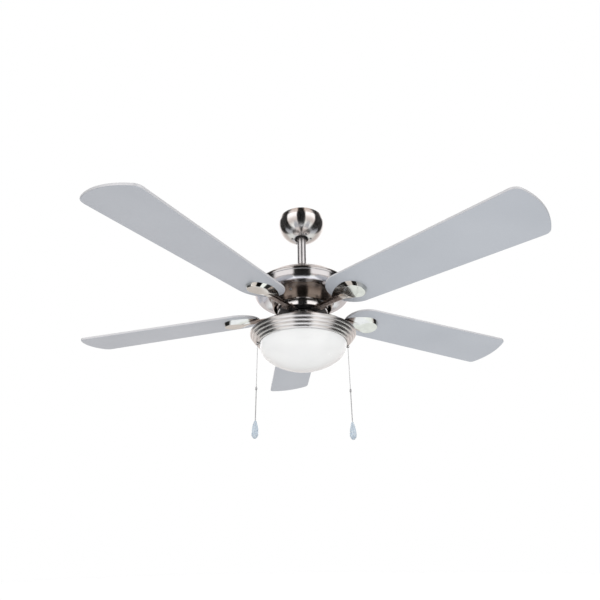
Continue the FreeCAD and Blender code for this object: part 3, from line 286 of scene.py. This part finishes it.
def spun_coordinates(tree):
    """(radius, height, a little of the angle): what is brushed on a lathe varies along these."""
    place = add_node(tree, "ShaderNodeTexCoord").outputs["Object"]
    x, y, z = add_node(tree, "ShaderNodeSeparateXYZ", {0: place}).outputs
    reach = calculate(tree, "SQRT", calculate(tree, "ADD", calculate(tree, "MULTIPLY", x, x),
                                              calculate(tree, "MULTIPLY", y, y)))
    turn = calculate(tree, "MULTIPLY", calculate(tree, "ARCTAN2", y, x), 0.004)
    vector = add_node(tree, "ShaderNodeCombineXYZ", {0: reach, 1: z, 2: turn})
    return place, vector.outputs[0]


def bump(material, height, strength, distance):
    """Wire a height into the shader's normal."""
    tree = material.node_tree
    node = add_node(tree, "ShaderNodeBump", {
        "Height": height, "Strength": strength, "Distance": distance})
    tree.links.new(node.outputs[0], shader_of(material).inputs["Normal"])


def nickel_tone(level):
    """Nickel's slightly warm grey at this level."""
    return (level, level * 0.975, level * 0.96)


def spun_nickel(name, low, high, level=0.75):
    """Satin nickel, brushed round and round on a lathe, between two roughnesses."""
    material = surface(name, {
        "Metallic": 1.0, "Anisotropic": 0.93, "Anisotropic Rotation": 0.25})
    tree = material.node_tree
    place, spun = spun_coordinates(tree)
    lines = noise(tree, spun, 2600, 3)
    smears = noise(tree, place, 26, 3)
    colour = ramp(tree, smears, ((0.35, nickel_tone(level * 0.96)),
                                 (0.65, nickel_tone(level * 1.04))))
    tree.links.new(colour, shader_of(material).inputs["Base Color"])
    rough = calculate(tree, "ADD", between(tree, lines, low, high),
                      between(tree, smears, -0.015, 0.02))
    tree.links.new(rough, shader_of(material).inputs["Roughness"])
    tangent = add_node(tree, "ShaderNodeTangent", direction_type="RADIAL", axis="Z")
    tree.links.new(tangent.outputs[0], shader_of(material).inputs["Tangent"])
    bump(material, lines, 0.06, 0.0002)
    return material


def coloured_where(material, share, painted_light):
    """Lay painted light, {socket: value}, over the material where the share is one."""
    tree = material.node_tree
    shader = shader_of(material)
    for name, value in painted_light.items():
        socket = shader.inputs[name]
        if name == "Base Color":
            mix = add_node(tree, "ShaderNodeMix", {0: share, 7: value}, data_type="RGBA")
            base, result = mix.inputs[6], mix.outputs[2]
        else:
            mix = add_node(tree, "ShaderNodeMix", {0: share, 3: value}, data_type="FLOAT")
            base, result = mix.inputs[2], mix.outputs[0]
        if socket.links:
            tree.links.new(socket.links[0].from_socket, base)
        else:
            base.default_value = socket.default_value
        tree.links.new(result, socket)
    return material


def hub_with_painted_shade():
    """Spun nickel whose lowest, level face is painted shade: matt black where it faces straight
    down.
    """
    material = spun_nickel("satin_nickel_hub", *SPUN_ROUGHNESS)
    tree = material.node_tree
    normal = add_node(tree, "ShaderNodeTexCoord").outputs["Normal"]
    upright = add_node(tree, "ShaderNodeSeparateXYZ", {0: normal}).outputs[2]
    # Painted shade: the faces turned straight down are laid over with matt black.
    share = ramp(tree, calculate(tree, "MULTIPLY", upright, -1.0), ((0.94, 0.0), (0.97, 1.0)))
    return coloured_where(material, share, SHADE_BLACK)


def coloured_within(material, radius, painted_light):
    """Lay painted light over all that is nearer to the shaft than this radius."""
    tree = material.node_tree
    spun = spun_coordinates(tree)[1]
    reach = add_node(tree, "ShaderNodeSeparateXYZ", {0: spun}).outputs[0]
    share = ramp(tree, calculate(tree, "DIVIDE", reach, 2 * radius), ((0.49, 1.0), (0.51, 0.0)))
    return coloured_where(material, share, painted_light)


def cast_nickel():
    """Polished nickel over a casting: bright, with a slow unevenness."""
    material = surface("satin_nickel_cast", {"Metallic": 1.0})
    tree = material.node_tree
    place = add_node(tree, "ShaderNodeTexCoord").outputs["Object"]
    ripple = noise(tree, place, 55, 2)
    grain = noise(tree, place, 900, 2)
    colour = ramp(tree, ripple, ((0.35, (0.71, 0.72, 0.69)), (0.65, (0.78, 0.79, 0.76))))
    tree.links.new(colour, shader_of(material).inputs["Base Color"])
    tree.links.new(between(tree, grain, 0.08, 0.14), shader_of(material).inputs["Roughness"])
    bump(material, ripple, 0.06, 0.002)
    return material


def metal(name, colour, low, high, scale=400):
    """A plain metal whose roughness varies a little."""
    material = surface(name, {"Base Color": (*colour, 1), "Metallic": 1.0})
    tree = material.node_tree
    place = add_node(tree, "ShaderNodeTexCoord").outputs["Object"]
    grain = noise(tree, place, scale, 3)
    tree.links.new(between(tree, grain, low, high), shader_of(material).inputs["Roughness"])
    bump(material, grain, 0.08, 0.0003)
    return material


def moulded(name, colour, low, high):
    """Moulded plastic with a fine grain."""
    material = surface(name, {"Base Color": (*colour, 1), "IOR": 1.48})
    tree = material.node_tree
    place = add_node(tree, "ShaderNodeTexCoord").outputs["Object"]
    grain = noise(tree, place, 1500, 2)
    tree.links.new(between(tree, grain, low, high), shader_of(material).inputs["Roughness"])
    bump(material, grain, 0.15, 0.0002)
    return material


def silver_board():
    """Silver-grey lacquer on the board's faces, and a painted highlight on its edges: paler
    where they face sideways.
    """
    material = surface("silver_board", {"Metallic": 0.15, "Coat Weight": 0.15,
                                        "Coat Roughness": 0.35})
    tree = material.node_tree
    source = add_node(tree, "ShaderNodeTexCoord")
    place, normal = source.outputs["Object"], source.outputs["Normal"]
    upright = add_node(tree, "ShaderNodeSeparateXYZ", {0: normal}).outputs[2]
    flat = calculate(tree, "ABSOLUTE", upright)
    flakes = noise(tree, place, 2400, 2)
    drift = noise(tree, place, 5, 2)
    face = ramp(tree, calculate(tree, "ADD", calculate(tree, "MULTIPLY", flakes, 0.35),
                                calculate(tree, "MULTIPLY", drift, 0.65)),
                ((0.35, (0.475, 0.50, 0.545)), (0.65, (0.53, 0.555, 0.60))))
    # Painted highlight: the edges, facing sideways, are given a paler colour for the light they
    # catch.
    edge_highlight = ramp(tree, flat, ((0.55, (0.63, 0.63, 0.65)), (0.85, (0, 0, 0))))
    share = ramp(tree, flat, ((0.55, 1.0), (0.85, 0.0)))
    mixed = add_node(tree, "ShaderNodeMix", {0: share, 6: face, 7: edge_highlight}, data_type="RGBA")
    tree.links.new(mixed.outputs[2], shader_of(material).inputs["Base Color"])
    tree.links.new(between(tree, flakes, 0.38, 0.5), shader_of(material).inputs["Roughness"])
    bump(material, flakes, 0.05, 0.0002)
    return material


def opal_glass():
    """White opal glass: light spreads inside it, under a clear skin."""
    material = surface("opal_glass", {
        "Subsurface Weight": 0.15, "Subsurface Radius": (0.02, 0.02, 0.02),
        "Subsurface Scale": 0.3, "IOR": 1.5, "Coat Weight": 0.2, "Coat Roughness": 0.12})
    tree = material.node_tree
    place = add_node(tree, "ShaderNodeTexCoord").outputs["Object"]
    cloud = noise(tree, place, 14, 3)
    colour = ramp(tree, cloud, ((0.3, (0.94, 0.945, 0.94)), (0.7, (0.975, 0.975, 0.97))))
    tree.links.new(colour, shader_of(material).inputs["Base Color"])
    tree.links.new(between(tree, cloud, 0.22, 0.28), shader_of(material).inputs["Roughness"])
    return material


def clear_drop():
    """Pale blue cloudy plastic of the pull chains' drops."""
    material = surface("pendant_clear", {
        "IOR": 1.49, "Transmission Weight": 0.12, "Subsurface Weight": 0.5,
        "Subsurface Radius": (0.004, 0.004, 0.004), "Subsurface Scale": 0.5})
    tree = material.node_tree
    place = add_node(tree, "ShaderNodeTexCoord").outputs["Object"]
    cloud = noise(tree, place, 160, 2)
    colour = ramp(tree, cloud, ((0.35, (0.60, 0.68, 0.76)), (0.65, (0.72, 0.80, 0.87))))
    tree.links.new(colour, shader_of(material).inputs["Base Color"])
    tree.links.new(between(tree, cloud, 0.12, 0.22), shader_of(material).inputs["Roughness"])
    return material


def nickel_finishes():
    """The nickel of the parts that are not plain spun work: cast or ribbed, with painted shade,
    highlights and reflections.
    """
    # Painted reflection: brown on the irons' arms near the hub.
    cast = coloured_within(cast_nickel(), ARM_END, ARM_PAINTED_REFLECTION)
    # Painted shade: the irons' feet under the hub are matt black.
    cast = coloured_within(cast, HUB_EDGE, SHADE_BLACK)
    finishes = {f"blade_iron_{number}": cast for number in range(1, 6)}
    finishes["iron_screws"] = cast
    finishes["trim_ring"] = spun_nickel("satin_nickel_ring", *RING_ROUGHNESS, RING_HIGHLIGHT_LEVEL)
    shell = spun_nickel("satin_nickel_shell", *SPUN_ROUGHNESS, BAND_SHADE_LEVEL)
    # Painted highlight on the bevel inside the band.
    shell = coloured_within(shell, BAND_INNER, BEVEL_PAINTED_HIGHLIGHT)
    # Painted reflection: brown in the throat.
    finishes["housing_shell"] = coloured_within(shell, THROAT_RADIUS, THROAT_PAINTED_REFLECTION)
    finishes["rotor_lower_bell"] = hub_with_painted_shade()
    finishes["downrod"] = metal("satin_nickel_rod", (0.62, 0.61, 0.61), 0.30, 0.36)
    return finishes


def dress_nodes():
    """Every CAD node that shows gets the material of its slot."""
    nickel = nickel_finishes()
    spun = spun_nickel("satin_nickel_spun", *SPUN_ROUGHNESS)
    finishes = {
        "zinc_steel": metal("zinc_steel", (0.62, 0.63, 0.64), 0.3, 0.42),
        "screw_steel": metal("screw_steel", (0.60, 0.60, 0.60), 0.22, 0.32),
        "black_plastic": moulded("black_plastic", (0.018, 0.018, 0.020), 0.5, 0.62),
        "white_plastic": moulded("white_plastic", (0.85, 0.84, 0.81), 0.35, 0.5),
        "cable_sheath": moulded("cable_sheath", (0.55, 0.55, 0.56), 0.45, 0.6),
        "cast_aluminium": metal("cast_aluminium", (0.66, 0.66, 0.67), 0.4, 0.55, 250),
        "shaft_steel": metal("shaft_steel", (0.55, 0.55, 0.56), 0.2, 0.3),
        "lamination_steel": metal("lamination_steel", (0.30, 0.31, 0.33), 0.45, 0.6),
        "copper_winding": metal("copper_winding", (0.62, 0.27, 0.12), 0.3, 0.42, 900),
        "silver_board": silver_board(),
        "opal_glass": opal_glass(),
        "bulb_glass": moulded("bulb_glass", (0.95, 0.95, 0.93), 0.3, 0.4),
        "bulb_cap_metal": metal("bulb_cap_metal", (0.72, 0.70, 0.66), 0.25, 0.35),
        "lamp_plate_white": moulded("lamp_plate_white", (0.90, 0.90, 0.89), 0.35, 0.45),
        "capacitor_black": moulded("capacitor_black", (0.05, 0.05, 0.055), 0.4, 0.5),
        "chain_metal": metal("chain_metal", (0.60, 0.60, 0.61), 0.2, 0.28),
        "pendant_clear": clear_drop(),
    }
    slots = {row["node"]: row["material_slot"] for row in frame["record"]["subparts"]}
    for node, piece in frame["nodes"].items():
        slot = slots[node]
        material = nickel.get(node, spun) if slot == "satin_nickel" else finishes[slot]
        piece.data.materials.clear()
        piece.data.materials.append(material)
    for side in SIDES:
        chain = bpy.data.objects[f"{side}_bead_chain"]
        chain.data.materials.append(finishes["chain_metal"])


# ---------------------------------------------------------------- the whole scene

make_camera()
for side in SIDES:
    bead_chain(side)
bpy.context.scene.view_settings.view_transform = "Standard"
make_world()
make_floor()
dress_nodes()
